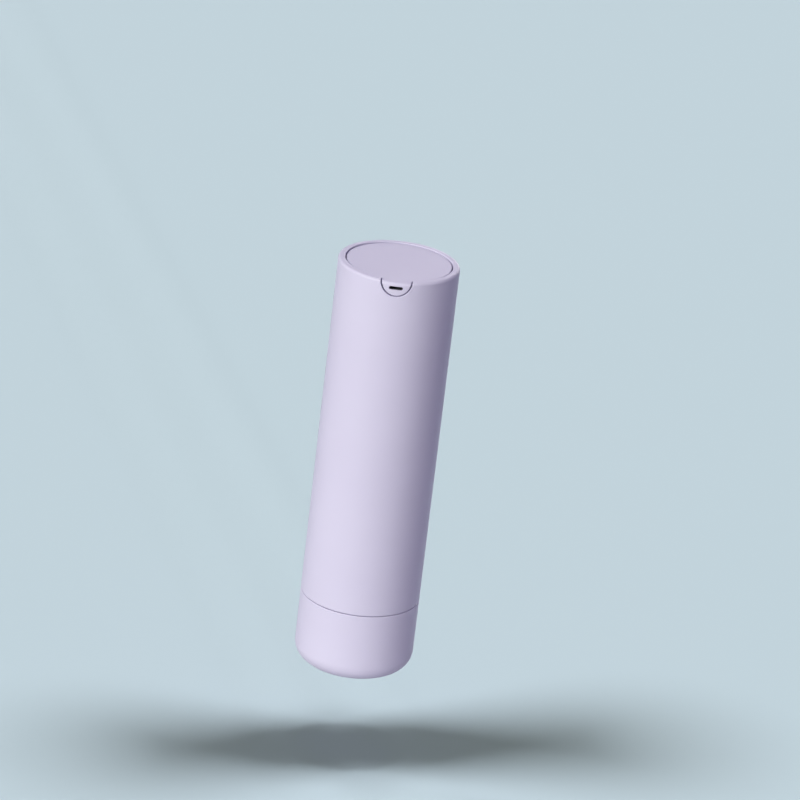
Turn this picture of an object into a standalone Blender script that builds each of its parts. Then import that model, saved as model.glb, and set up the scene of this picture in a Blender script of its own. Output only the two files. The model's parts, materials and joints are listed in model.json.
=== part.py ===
"""Twist-up airless pump bottle for sunscreen: sleeve, twist base, refill cartridge, pump and press button.

Metres, +Z up. The bottle stands on the XY plane with its axis on Z, and its outlet looks along -Y.
Everything is shown as it stands closed: the carriage is down and the button is pushed home.
"""

import math

import bmesh
import bpy
from mathutils import Matrix, Vector

# Clearances
GAP = 0.0003  # between pieces that touch or run on each other
OVERRUN = 0.002  # how far a cutter runs past what it cuts
WELD = 0.00001  # points nearer than this are made one

# Outer form
HEIGHT = 0.137
BODY_RADIUS = 0.019
SHELL_WALL = 0.0018
SEAM_HEIGHT = 0.0239  # middle of the turning seam
SEAM_GAP = 0.0004
EDGE_BEVEL = 0.00025  # on both edges of the seam
FOOT_ROUND = 0.0059
RIM_WIDTH = 0.0022
RIM_ROUND = 0.001
RIM_INNER_ROUND = 0.0003
RIM_BORE_DEPTH = 0.015  # how far down the narrow bore of the rim reaches

# Nozzle notch, tab and outlet slot
NOTCH_RADIUS = 0.00495
TAB_GAP = 0.0004
TAB_SETBACK = 0.00015  # tab face behind the sleeve's surface
TAB_ROUND = 0.0011  # between the press face and the tab face
TAB_WALL = 0.0012
TAB_ROOT = 0.00015  # how deep the tab is rooted in the skirt
SLOT_WIDTH = 0.0043
SLOT_HEIGHT = 0.001
SLOT_DROP = 0.00215  # slot's middle below the rim
DUCT_WALL = 0.0004

# Button cap
DISC_RECESS = 0.0003
DISC_GAP = 0.0004
DISC_THICKNESS = 0.0012
DISC_EDGE_HEIGHT = 0.0022
DISC_EDGE_ROUND = 0.0002
SKIRT_WALL = 0.001
SKIRT_LENGTH = 0.0099
BEAD_HEIGHT = 0.00025  # detent bead in the sleeve's rim bore
BEAD_PITCH = 0.0012  # between the sleeve's bead and the skirt's bead below it
BEAD_LENGTH = 0.0008
SKIRT_BEAD_HEIGHT = 0.0003
SKIRT_BEAD_RISE = 0.0018  # bead's middle above the skirt's lower edge

# Button core, between the cap and the pump
CORE_PLATE = 0.001
BOSS_RADIUS = 0.0046
BOSS_LENGTH = 0.0068
SOCKET_DEPTH = 0.005
DUCT_BACK = 0.0024  # end of the duct behind the axis
KEY_WIDTH = 0.002
KEY_THICKNESS = 0.0012
KEY_LENGTH = 0.0112

# Pump
STROKE = 0.003
STEM_RADIUS = 0.0026
STEM_BORE = 0.0014
PORT_RADIUS = 0.0005
FOOT_FLANGE = 0.0012
FOOT_RADIUS = 0.0046
SPIGOT_LENGTH = 0.0023
PUMP_BORE = 0.0052
PUMP_WALL = 0.0011
PISTON_LENGTH = 0.004
PISTON_LIP = 0.0003
BUSHING_LENGTH = 0.008
BUSHING_FLANGE_RADIUS = 0.008
BUSHING_FLANGE = 0.0008
HOUSING_FLANGE = 0.0012
HOUSING_FLOOR = 0.0012
INLET_RADIUS = 0.0032
INLET_BORE = 0.0011
INLET_SEAT = 0.001
BALL_CHAMBER_RADIUS = 0.002
BALL_CHAMBER_DEPTH = 0.004
BALL_RADIUS = 0.0016
RETAINER_THICKNESS = 0.0008
RETAINER_BORE = 0.0012
GASKET_THICKNESS = 0.0008

# Closure
DECK_THICKNESS = 0.0014
DECK_CLEARANCE = 0.00075  # between the deck and the button's skirt
CLOSURE_WALL = 0.001
CLOSURE_SKIRT = 0.0107
SNAP_OVERLAP = 0.0003  # radial hold of each snap bead
SNAP_LENGTH = 0.0018

# Return spring
WIRE_RADIUS = 0.00035
SPRING_RADIUS = 0.0063
SPRING_TURNS = 5
SPRING_POINTS_PER_TURN = 10

# Cartridge and follower
CARTRIDGE_WALL = 0.001
SHOULDER_WIDTH = 0.0034  # how far the neck stands in from the cartridge's wall
NECK_WALL = 0.001
NECK_HEIGHT = 0.0075
SHOULDER_DROP = 0.0022
FOLLOWER_WALL = 0.0009
FOLLOWER_LIP_LENGTH = 0.001
FOLLOWER_WAIST = 0.0006  # how far the waist stands in from the lips
FOLLOWER_EDGE = 0.0004
WELL_CLEARANCE = 0.0004  # between the follower's well and the pump housing
WELL_SPARE = 0.0006  # under the inlet when the follower is right up
PLUG_FLOOR = 0.0012
PLUG_HEIGHT = 0.0028
PLUG_VENT = 0.0008

# Carrier, cam tube and friction ring
CARRIER_WALL = 0.001
CARRIER_VENT = 0.002
CARRIER_FLANGE = 0.0015
CAM_WALL = 0.0011
CAM_TOP = 0.042
CAM_LIFT = 0.0025
CAM_TURN = math.radians(90)
LUG_RADIUS = 0.0015
LUG_HEIGHT = 0.034
LUG_REACH = 0.00055  # past the sleeve's bore
SNAP_SLEEVE_HEIGHT = 0.029
SNAP_BASE_HEIGHT = 0.014
SEAT_RADIUS = 0.009
SEAT_HEIGHT = 0.0012
RING_SECTION = 0.00035
RING_GAP = 0.00025

# Fineness of the turned shapes
OUTER_STEPS = 40
INNER_STEPS = 32
PUMP_STEPS = 20
ROUND_STEPS = 4
CAM_STEPS = 12
SHARP_DEGREES = 35

# Colours
LILAC = (0.66, 0.62, 0.80)
LILAC_BUTTON = (0.62, 0.58, 0.77)
NATURAL = (0.85, 0.85, 0.82)
WHITE = (0.88, 0.88, 0.88)
CHARCOAL = (0.03, 0.03, 0.035)
ELASTOMER = (0.25, 0.25, 0.27)
STEEL = (0.62, 0.62, 0.64)

# Radii that follow from the sizes above
SHELL_BORE = BODY_RADIUS - SHELL_WALL
RIM_BORE = BODY_RADIUS - RIM_WIDTH
SLEEVE_BEAD_RADIUS = RIM_BORE - BEAD_HEIGHT
DISC_RADIUS = RIM_BORE - DISC_GAP
SKIRT_BEAD_RADIUS = SLEEVE_BEAD_RADIUS - GAP
SKIRT_RADIUS = SKIRT_BEAD_RADIUS - SKIRT_BEAD_HEIGHT
SKIRT_BORE = SKIRT_RADIUS - SKIRT_WALL
CORE_RADIUS = SKIRT_BORE - GAP
DECK_RADIUS = SKIRT_BORE - DECK_CLEARANCE
KEY_OUTER = CORE_RADIUS - GAP
KEY_INNER = KEY_OUTER - KEY_THICKNESS
CAM_RADIUS = SHELL_BORE - GAP
CAM_BORE = CAM_RADIUS - CAM_WALL
CARRIER_RADIUS = CAM_BORE - GAP
CARRIER_BORE = CARRIER_RADIUS - CARRIER_WALL
CARTRIDGE_RADIUS = CARRIER_BORE - GAP
CARTRIDGE_BORE = CARTRIDGE_RADIUS - CARTRIDGE_WALL
FOLLOWER_RADIUS = CARTRIDGE_BORE - GAP
NECK_RADIUS = CARTRIDGE_RADIUS - SHOULDER_WIDTH
NECK_BEAD_RADIUS = NECK_RADIUS + SNAP_OVERLAP + GAP
CLOSURE_BORE = NECK_BEAD_RADIUS + GAP
CLOSURE_RADIUS = CLOSURE_BORE + CLOSURE_WALL
PISTON_RADIUS = PUMP_BORE - GAP
HOUSING_RADIUS = PUMP_BORE + PUMP_WALL
STEM_HOLE = STEM_RADIUS + GAP
LUG_END = SHELL_BORE + LUG_REACH
RING_MIDDLE_RADIUS = CAM_RADIUS + RING_GAP + RING_SECTION
FOOT_FLAT = BODY_RADIUS - FOOT_ROUND

# Heights that follow, from the rim down to the pump
SLEEVE_BOTTOM = SEAM_HEIGHT + SEAM_GAP / 2
SLEEVE_LENGTH = HEIGHT - SLEEVE_BOTTOM
BASE_TOP = SEAM_HEIGHT - SEAM_GAP / 2
DISC_TOP = HEIGHT - DISC_RECESS
DISC_UNDER = DISC_TOP - DISC_THICKNESS
SKIRT_BOTTOM = DISC_UNDER - SKIRT_LENGTH
SLOT_LEVEL = HEIGHT - SLOT_DROP
PLATE_TOP = DISC_UNDER - GAP
PLATE_UNDER = PLATE_TOP - CORE_PLATE
BOSS_BOTTOM = PLATE_UNDER - BOSS_LENGTH
DECK_TOP = BOSS_BOTTOM - GAP
DECK_UNDER = DECK_TOP - DECK_THICKNESS
BUSHING_TOP = DECK_UNDER - GAP
BUSHING_SEAT = BUSHING_TOP - BUSHING_FLANGE
HOUSING_TOP = BUSHING_SEAT - GAP
HOUSING_SEAT = HOUSING_TOP - HOUSING_FLANGE
GASKET_BOTTOM = HOUSING_SEAT - GAP - GASKET_THICKNESS
NECK_TOP = GASKET_BOTTOM - GAP
NECK_BOTTOM = NECK_TOP - NECK_HEIGHT
SHOULDER_BOTTOM = NECK_BOTTOM - SHOULDER_DROP
CLOSURE_BOTTOM = DECK_UNDER - CLOSURE_SKIRT
BUSHING_BOTTOM = BUSHING_SEAT - BUSHING_LENGTH
PISTON_BOTTOM = BUSHING_BOTTOM - GAP - STROKE - PISTON_LENGTH
FOOT_BOTTOM = PISTON_BOTTOM - GAP - FOOT_FLANGE
RETAINER_BOTTOM = FOOT_BOTTOM - GAP - RETAINER_THICKNESS
PUMP_FLOOR = RETAINER_BOTTOM - GAP
SEAT_LEVEL = PUMP_FLOOR - BALL_CHAMBER_DEPTH
INLET_BOTTOM = SEAT_LEVEL - INLET_SEAT
STEM_TOP = BOSS_BOTTOM + SOCKET_DEPTH - GAP
STEM_BOTTOM = FOOT_BOTTOM + FOOT_FLANGE + GAP
BALL_LEVEL = SEAT_LEVEL + math.sqrt((BALL_RADIUS + GAP) ** 2 - INLET_BORE**2)

# Heights that follow, from the foot up to the follower
CAM_BOTTOM = SHELL_WALL + GAP
CARRIER_BOTTOM = CAM_BOTTOM + CAM_WALL + GAP
CARRIER_TOP = SHOULDER_BOTTOM
CARTRIDGE_BOTTOM = FOOT_ROUND + GAP
FOLLOWER_BOTTOM = CARTRIDGE_BOTTOM + PLUG_HEIGHT + GAP
FOLLOWER_HIGH_TOP = SHOULDER_BOTTOM - CARTRIDGE_WALL
WELL_RADIUS = HOUSING_RADIUS + WELL_CLEARANCE
WELL_DEPTH = FOLLOWER_HIGH_TOP - INLET_BOTTOM + WELL_SPARE
FOLLOWER_HEIGHT = WELL_DEPTH + FOLLOWER_WALL
RING_LEVEL = BASE_TOP + RING_GAP + RING_SECTION


def clear_scene():
    for item in list(bpy.data.objects):
        bpy.data.objects.remove(item)


def new_collection(name):
    group = bpy.data.collections.new(name)
    bpy.context.scene.collection.children.link(group)
    return group


def material(name, colour, roughness, metallic=0.0):
    made = bpy.data.materials.new(name)
    made.use_nodes = True
    shader = made.node_tree.nodes["Principled BSDF"]
    shader.inputs["Base Color"].default_value = (*colour, 1.0)
    shader.inputs["Roughness"].default_value = roughness
    shader.inputs["Metallic"].default_value = metallic
    made.diffuse_color = (*colour, 1.0)
    return made


def arc(centre, radius, start, end, steps=ROUND_STEPS):
    """Points of an arc in the profile's plane, angles in degrees from +X."""
    turns = [math.radians(start + (end - start) * i / steps) for i in range(steps + 1)]
    return [(centre[0] + radius * math.cos(a), centre[1] + radius * math.sin(a)) for a in turns]


def bead(radius, height, middle, length):
    """Four points of a ring bead, or of a groove when height is negative, from its top down."""
    half, slope = length / 2, abs(height)
    return [
        (radius, middle + half),
        (radius + height, middle + half - slope),
        (radius + height, middle - half + slope),
        (radius, middle - half),
    ]


def add_object(name, mesh, group):
    made = bpy.data.objects.new(name, mesh)
    group.objects.link(made)
    return made


def make_cutter(made):
    made.hide_render = True
    made.display_type = "WIRE"
    return made


def turned(name, profile, steps, group):
    """A profile of (radius, height) points turned round Z. It closes on itself unless it ends on the axis."""
    mesh = bpy.data.meshes.new(name)
    on_axis = profile[0][0] == 0 and profile[-1][0] == 0
    count = len(profile)
    edges = [(i, (i + 1) % count) for i in range(count - 1 if on_axis else count)]
    mesh.from_pydata([(r, 0, z) for r, z in profile], edges, [])
    made = add_object(name, mesh, group)
    screw = made.modifiers.new("Turn", "SCREW")
    screw.steps = steps
    screw.render_steps = steps
    screw.use_merge_vertices = True
    screw.merge_threshold = WELD
    screw.use_smooth_shade = False
    return made


def from_bmesh(name, shape, group):
    mesh = bpy.data.meshes.new(name)
    shape.to_mesh(mesh)
    shape.free()
    return add_object(name, mesh, group)


def box(name, size, centre, group):
    shape = bmesh.new()
    bmesh.ops.create_cube(shape, size=1.0)
    bmesh.ops.scale(shape, vec=size, verts=shape.verts)
    made = from_bmesh(name, shape, group)
    made.location = centre
    return made


def cylinder(name, radius, length, centre, axis, steps, group):
    """A plain cylinder along the named axis, about its middle."""
    shape = bmesh.new()
    bmesh.ops.create_cone(
        shape, cap_ends=True, segments=steps, radius1=radius, radius2=radius, depth=length
    )
    made = from_bmesh(name, shape, group)
    made.location = centre
    made.rotation_euler = {
        "X": (0, math.radians(90), 0),
        "Y": (math.radians(90), 0, 0),
        "Z": (0, 0, 0),
    }[axis]
    return made


def oval_bar(name, width, height, front, back, level, group):
    """A bar with round sides that runs along Y from front to back, made from a flat outline."""
    reach, end = (width - height) / 2, height / 2
    outline = arc((reach, 0), end, -90, 90) + arc((-reach, 0), end, 90, 270)
    curve = bpy.data.curves.new(name, "CURVE")
    curve.dimensions = "2D"
    curve.fill_mode = "BOTH"
    curve.extrude = (back - front) / 2
    line = curve.splines.new("POLY")
    line.points.add(len(outline) - 1)
    for point, (x, y) in zip(line.points, outline):
        point.co = (x, y, 0, 1)
    line.use_cyclic_u = True
    drawn = bpy.data.objects.new(name + "_outline", curve)
    group.objects.link(drawn)
    mesh = bpy.data.meshes.new_from_object(drawn.evaluated_get(bpy.context.evaluated_depsgraph_get()))
    bpy.data.objects.remove(drawn)
    shape = bmesh.new()
    shape.from_mesh(mesh)
    bmesh.ops.remove_doubles(shape, verts=shape.verts, dist=WELD)
    bmesh.ops.recalc_face_normals(shape, faces=shape.faces)
    made = from_bmesh(name, shape, group)
    made.location = (0, (front + back) / 2, level)
    made.rotation_euler = (math.radians(90), 0, 0)
    return made


def helical_bar(name, inner, outer, height, level, start, turn, rise, group):
    """A square bar bent round Z that climbs as it turns, for cutting a cam slot."""
    shape = bmesh.new()
    corners = ((inner, -height / 2), (outer, -height / 2), (outer, height / 2), (inner, height / 2))
    swing = Matrix.Rotation(start, 4, "Z")
    face = shape.faces.new([shape.verts.new(swing @ Vector((r, 0, level + z))) for r, z in corners])
    bmesh.ops.spin(
        shape,
        geom=[face],
        cent=(0, 0, 0),
        axis=(0, 0, 1),
        dvec=(0, 0, rise / CAM_STEPS),
        angle=turn,
        steps=CAM_STEPS,
        use_merge=False,
        use_duplicate=False,
    )
    bmesh.ops.recalc_face_normals(shape, faces=shape.faces)
    return from_bmesh(name, shape, group)


def combine(target, tool, operation):
    modifier = target.modifiers.new(tool.name, "BOOLEAN")
    modifier.operation = operation
    modifier.solver = "EXACT"
    modifier.object = make_cutter(tool)


def finish(made, look, parent=None, level=0.0):
    """Applies a piece's modifiers, shades it, and stands it at its level in its parent."""
    mesh = bpy.data.meshes.new_from_object(made.evaluated_get(bpy.context.evaluated_depsgraph_get()))
    made.modifiers.clear()
    made.data = mesh
    mesh.shade_smooth()
    mesh.set_sharp_from_angle(angle=math.radians(SHARP_DEGREES))
    mesh.materials.clear()
    mesh.materials.append(look)
    made.location.z = level
    made.parent = parent
    return made


def frame(name, group, parent=None):
    """An empty on the bottle's axis that carries what moves together."""
    made = bpy.data.objects.new(name, None)
    made.empty_display_size = BODY_RADIUS
    group.objects.link(made)
    made.parent = parent
    return made


def outer_sleeve(parts, cutters):
    """The long shell: rim with its narrow bore and detent bead, snap groove and ring rebate below."""
    length, rim = SLEEVE_LENGTH, SLEEVE_LENGTH - RIM_BORE_DEPTH
    detent = SKIRT_BOTTOM + SKIRT_BEAD_RISE + BEAD_PITCH - SLEEVE_BOTTOM
    groove = SNAP_SLEEVE_HEIGHT - SLEEVE_BOTTOM
    rebate = (RING_MIDDLE_RADIUS + RING_SECTION + RING_GAP, RING_SECTION * 2 + RING_GAP)
    profile = arc((BODY_RADIUS - RIM_ROUND, length - RIM_ROUND), RIM_ROUND, 90, 0)
    profile += [(BODY_RADIUS, EDGE_BEVEL), (BODY_RADIUS - EDGE_BEVEL, 0)]
    profile += [(rebate[0], 0), rebate, (SHELL_BORE, rebate[1])]
    profile += bead(SHELL_BORE, SNAP_OVERLAP + GAP, groove, SNAP_LENGTH + GAP * 2)[::-1]
    profile += [(SHELL_BORE, rim - RIM_WIDTH + SHELL_WALL), (RIM_BORE, rim)]
    profile += bead(RIM_BORE, -BEAD_HEIGHT, detent, BEAD_LENGTH)[::-1]
    profile += arc(
        (RIM_BORE + RIM_INNER_ROUND, length - RIM_INNER_ROUND), RIM_INNER_ROUND, 180, 90
    )
    made = turned("outer_sleeve", profile, OUTER_STEPS, parts)
    reach = RIM_WIDTH + OVERRUN * 2
    notch = cylinder(
        "notch_cutter", NOTCH_RADIUS, reach, (0, -BODY_RADIUS + RIM_WIDTH / 2, length), "Y",
        OUTER_STEPS, cutters,
    )
    combine(made, notch, "DIFFERENCE")
    top = LUG_HEIGHT + LUG_RADIUS + CAM_LIFT + GAP * 2 - SLEEVE_BOTTOM
    depth = LUG_END + GAP - SHELL_BORE + OVERRUN
    for side in (-1, 1):
        size = (depth, (LUG_RADIUS + GAP) * 2, top + OVERRUN)
        centre = (side * (LUG_END + GAP - depth / 2), 0, (top - OVERRUN) / 2)
        combine(made, box("lug_groove_cutter", size, centre, cutters), "DIFFERENCE")
    return made


def base_cap(parts):
    """The twist base: a cup with a rounded foot, a snap groove and a low seat for the cam tube."""
    corner = (FOOT_FLAT, FOOT_ROUND)
    seat = SHELL_WALL + SEAT_HEIGHT
    profile = [(0, seat), (SEAT_RADIUS, seat), (SEAT_RADIUS, SHELL_WALL)]
    profile += arc(corner, FOOT_ROUND - SHELL_WALL, -90, 0)
    profile += bead(SHELL_BORE, SNAP_OVERLAP + GAP, SNAP_BASE_HEIGHT, SNAP_LENGTH + GAP * 2)[::-1]
    profile += [(SHELL_BORE, BASE_TOP), (BODY_RADIUS - EDGE_BEVEL, BASE_TOP)]
    profile += [(BODY_RADIUS, BASE_TOP - EDGE_BEVEL)]
    profile += arc(corner, FOOT_ROUND, 0, -90, ROUND_STEPS * 2) + [(0, 0)]
    return turned("base_cap", profile, OUTER_STEPS, parts)


def cam_tube(parts, cutters):
    """The tube fixed in the base: snap beads, two helical slots and the channels that let the lugs in."""
    corner = (FOOT_FLAT, FOOT_ROUND)
    outer, inner = FOOT_ROUND - SHELL_WALL - GAP, FOOT_ROUND - SHELL_WALL - GAP - CAM_WALL
    snap = SNAP_OVERLAP + GAP
    profile = [(CAM_RADIUS, CAM_TOP)]
    profile += bead(CAM_RADIUS, snap, SNAP_SLEEVE_HEIGHT, SNAP_LENGTH)
    profile += bead(CAM_RADIUS, snap, SNAP_BASE_HEIGHT, SNAP_LENGTH)
    profile += arc(corner, outer, 0, -90)
    profile += [(SEAT_RADIUS + GAP, CAM_BOTTOM), (SEAT_RADIUS + GAP, CAM_BOTTOM + CAM_WALL)]
    profile += arc(corner, inner, -90, 0)
    profile += [(CAM_BORE, CAM_TOP)]
    made = turned("cam_tube", profile, INNER_STEPS, parts)
    side = math.asin((LUG_RADIUS + GAP) / CAM_BORE)
    start, turn = -side, CAM_TURN + side * 2
    climb = CAM_LIFT / CAM_TURN
    for half in (0, math.pi):
        slot = helical_bar(
            "cam_slot_cutter", CAM_BORE - OVERRUN / 2, CAM_RADIUS + OVERRUN / 2,
            (LUG_RADIUS + GAP) * 2 + climb * side * 2, LUG_HEIGHT - climb * side,
            half + start, turn, climb * turn, cutters,
        )
        combine(made, slot, "DIFFERENCE")
        level = LUG_HEIGHT + CAM_LIFT
        size = (CAM_WALL + OVERRUN, (LUG_RADIUS + GAP) * 2, CAM_TOP + OVERRUN - level)
        entry = box("lug_entry_cutter", size, (0, 0, 0), cutters)
        middle, angle = (CAM_BORE + CAM_RADIUS) / 2, half + CAM_TURN
        entry.location = (middle * math.cos(angle), middle * math.sin(angle), level + size[2] / 2)
        entry.rotation_euler.z = angle
        combine(made, entry, "DIFFERENCE")
    return made


def friction_ring(parts):
    profile = arc((RING_MIDDLE_RADIUS, 0), RING_SECTION, 90, -225, 7)
    return turned("friction_ring", profile, INNER_STEPS, parts)


def carrier(parts, cutters):
    """The refill's holder: cup with a vented floor, guide flange on top and two lugs for the cam."""
    corner, lift = (FOOT_FLAT, FOOT_ROUND), CARRIER_BOTTOM
    foot = FOOT_ROUND - CARRIER_BOTTOM
    profile = [(CAM_RADIUS, CARRIER_TOP), (CAM_RADIUS, CARRIER_TOP - CARRIER_FLANGE)]
    profile += [(CARRIER_RADIUS, CARRIER_TOP - CARRIER_FLANGE)]
    profile += arc(corner, foot, 0, -90)
    profile += [(CARRIER_VENT, CARRIER_BOTTOM), (CARRIER_VENT, FOOT_ROUND)]
    profile += [(CARRIER_BORE, FOOT_ROUND), (CARRIER_BORE, CARRIER_TOP)]
    profile = [(r, z - lift) for r, z in profile]
    made = turned("carrier", profile, INNER_STEPS, parts)
    inner = CARRIER_BORE + CARRIER_WALL / 2
    for side in (-1, 1):
        middle = side * (inner + LUG_END) / 2
        lug = cylinder(
            "carrier_lug", LUG_RADIUS, LUG_END - inner, (middle, 0, LUG_HEIGHT - lift), "X",
            PUMP_STEPS, cutters,
        )
        combine(made, lug, "UNION")
    return made


def cartridge(parts):
    """The refill container: open foot, sloping shoulder and a neck with a snap bead."""
    lift = CARTRIDGE_BOTTOM
    grip = CLOSURE_BOTTOM + SNAP_LENGTH + GAP - SNAP_OVERLAP * 2 + SNAP_LENGTH / 2
    profile = [(NECK_RADIUS - NECK_WALL, NECK_TOP), (NECK_RADIUS, NECK_TOP)]
    profile += bead(NECK_RADIUS, SNAP_OVERLAP + GAP, grip, SNAP_LENGTH)
    profile += [(NECK_RADIUS, NECK_BOTTOM), (CARTRIDGE_RADIUS, SHOULDER_BOTTOM)]
    profile += [(CARTRIDGE_RADIUS, CARTRIDGE_BOTTOM), (CARTRIDGE_BORE, CARTRIDGE_BOTTOM)]
    profile += [(CARTRIDGE_BORE, SHOULDER_BOTTOM - CARTRIDGE_WALL / 2)]
    profile += [(NECK_RADIUS - NECK_WALL, NECK_BOTTOM - CARTRIDGE_WALL / 2)]
    return turned("cartridge", [(r, z - lift) for r, z in profile], INNER_STEPS, parts)


def cartridge_plug(parts):
    """The plug in the cartridge's foot: a disc with a vent and a short wall."""
    wall = FOLLOWER_RADIUS - CARTRIDGE_WALL
    profile = [(FOLLOWER_RADIUS, PLUG_HEIGHT), (FOLLOWER_RADIUS, 0), (PLUG_VENT, 0)]
    profile += [(PLUG_VENT, PLUG_FLOOR), (wall, PLUG_FLOOR), (wall, PLUG_HEIGHT)]
    return turned("cartridge_plug", profile, INNER_STEPS, parts)


def follower_piston(parts):
    """The follower: two lips, a thin wall, and a well that closes round the pump at the top."""
    lip, waist, top = FOLLOWER_RADIUS, FOLLOWER_RADIUS - FOLLOWER_WAIST, FOLLOWER_HEIGHT
    low, high = FOLLOWER_LIP_LENGTH, FOLLOWER_HEIGHT - FOLLOWER_LIP_LENGTH
    inside, well = waist - FOLLOWER_WALL, WELL_RADIUS + FOLLOWER_WALL
    profile = [(0, FOLLOWER_WALL), (WELL_RADIUS, FOLLOWER_WALL), (WELL_RADIUS, top)]
    profile += [(lip - FOLLOWER_EDGE, top), (lip, top - FOLLOWER_EDGE), (lip, high)]
    profile += [(waist, high - FOLLOWER_WAIST), (waist, low + FOLLOWER_WAIST), (lip, low)]
    profile += [(lip, FOLLOWER_EDGE), (lip - FOLLOWER_EDGE, 0), (inside, 0)]
    profile += [(inside, top - FOLLOWER_WALL), (well, top - FOLLOWER_WALL), (well, 0), (0, 0)]
    return turned("follower_piston", profile, INNER_STEPS, parts)


def neck_gasket(parts):
    inner = NECK_RADIUS - NECK_WALL
    profile = [(NECK_RADIUS, GASKET_THICKNESS), (NECK_RADIUS, 0), (inner, 0)]
    return turned("neck_gasket", profile + [(inner, GASKET_THICKNESS)], INNER_STEPS, parts)


def pump_closure(parts, cutters):
    """The collar that holds the pump on the neck: deck with two key notches, skirt with a snap bead."""
    lift, step = CLOSURE_BOTTOM, BUSHING_FLANGE_RADIUS + GAP
    bite = CLOSURE_BORE - NECK_RADIUS - GAP
    profile = [(DECK_RADIUS, DECK_TOP), (DECK_RADIUS, DECK_UNDER), (CLOSURE_RADIUS, DECK_UNDER)]
    profile += [(CLOSURE_RADIUS, CLOSURE_BOTTOM), (CLOSURE_BORE - bite, CLOSURE_BOTTOM)]
    profile += [(CLOSURE_BORE - bite, CLOSURE_BOTTOM + SNAP_LENGTH - bite)]
    profile += [(CLOSURE_BORE, CLOSURE_BOTTOM + SNAP_LENGTH), (CLOSURE_BORE, HOUSING_TOP + GAP)]
    profile += [(step, HOUSING_TOP + GAP), (step, DECK_UNDER), (STEM_HOLE, DECK_UNDER)]
    profile += [(STEM_HOLE, DECK_TOP)]
    made = turned("pump_closure", [(r, z - lift) for r, z in profile], INNER_STEPS, parts)
    inner = KEY_INNER - GAP
    size = (DECK_RADIUS - inner + OVERRUN, KEY_WIDTH + GAP * 2, DECK_THICKNESS + OVERRUN)
    for side in (-1, 1):
        centre = (side * (inner + size[0] / 2), 0, (DECK_TOP + DECK_UNDER) / 2 - lift)
        combine(made, box("key_notch_cutter", size, centre, cutters), "DIFFERENCE")
    return made


def stem_bushing(parts):
    """The stem's guide, whose lower end stops the piston."""
    length = BUSHING_LENGTH + BUSHING_FLANGE
    profile = [(BUSHING_FLANGE_RADIUS, length), (BUSHING_FLANGE_RADIUS, BUSHING_LENGTH)]
    profile += [(PISTON_RADIUS, BUSHING_LENGTH), (PISTON_RADIUS, 0), (STEM_HOLE, 0), (STEM_HOLE, length)]
    return turned("stem_bushing", profile, PUMP_STEPS, parts)


def pump_housing(parts):
    """The pump's cylinder: flange on the neck, and the inlet with the ball's chamber and seat."""
    lift = INLET_BOTTOM
    profile = [(PUMP_BORE, HOUSING_TOP), (NECK_RADIUS, HOUSING_TOP), (NECK_RADIUS, HOUSING_SEAT)]
    profile += [(HOUSING_RADIUS, HOUSING_SEAT), (HOUSING_RADIUS, PUMP_FLOOR - HOUSING_FLOOR)]
    profile += [(INLET_RADIUS, PUMP_FLOOR - HOUSING_FLOOR), (INLET_RADIUS, INLET_BOTTOM)]
    profile += [(INLET_BORE, INLET_BOTTOM), (INLET_BORE, SEAT_LEVEL)]
    profile += [(BALL_CHAMBER_RADIUS, SEAT_LEVEL), (BALL_CHAMBER_RADIUS, PUMP_FLOOR)]
    profile += [(PUMP_BORE, PUMP_FLOOR)]
    return turned("pump_housing", [(r, z - lift) for r, z in profile], PUMP_STEPS, parts)


def inlet_ball(parts):
    shape = bmesh.new()
    bmesh.ops.create_uvsphere(
        shape, u_segments=PUMP_STEPS, v_segments=PUMP_STEPS // 2, radius=BALL_RADIUS
    )
    return from_bmesh("inlet_ball", shape, parts)


def ball_retainer(parts):
    profile = [(PISTON_RADIUS, RETAINER_THICKNESS), (PISTON_RADIUS, 0), (RETAINER_BORE, 0)]
    return turned("ball_retainer", profile + [(RETAINER_BORE, RETAINER_THICKNESS)], PUMP_STEPS, parts)


def stem(parts, cutters):
    """The hollow stem, with a cross hole at the foot that the piston covers."""
    length = STEM_TOP - STEM_BOTTOM
    profile = [(STEM_RADIUS, length), (STEM_RADIUS, 0), (STEM_BORE, 0), (STEM_BORE, length)]
    made = turned("stem", profile, PUMP_STEPS, parts)
    level = SPIGOT_LENGTH + PORT_RADIUS + GAP
    port = cylinder(
        "port_cutter", PORT_RADIUS, (STEM_RADIUS + OVERRUN) * 2, (0, 0, level), "X",
        PUMP_STEPS // 2, cutters,
    )
    combine(made, port, "DIFFERENCE")
    return made


def stem_foot(parts):
    """The plug in the stem's lower end, with the flange that lifts the piston."""
    spigot, top = STEM_BORE - GAP, FOOT_FLANGE + GAP + SPIGOT_LENGTH
    profile = [(0, top), (spigot, top), (spigot, FOOT_FLANGE), (FOOT_RADIUS, FOOT_FLANGE)]
    return turned("stem_foot", profile + [(FOOT_RADIUS, 0), (0, 0)], PUMP_STEPS, parts)


def pump_piston(parts):
    """The sliding seal: a sleeve on the stem with a lip at each end."""
    lip, waist, top = PISTON_RADIUS, PISTON_RADIUS - PISTON_LIP, PISTON_LENGTH
    profile = [(lip, top), (lip, top - PISTON_LIP * 2), (waist, top - PISTON_LIP * 3)]
    profile += [(waist, PISTON_LIP * 3), (lip, PISTON_LIP * 2), (lip, 0)]
    return turned("pump_piston", profile + [(STEM_HOLE, 0), (STEM_HOLE, top)], PUMP_STEPS, parts)


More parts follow.
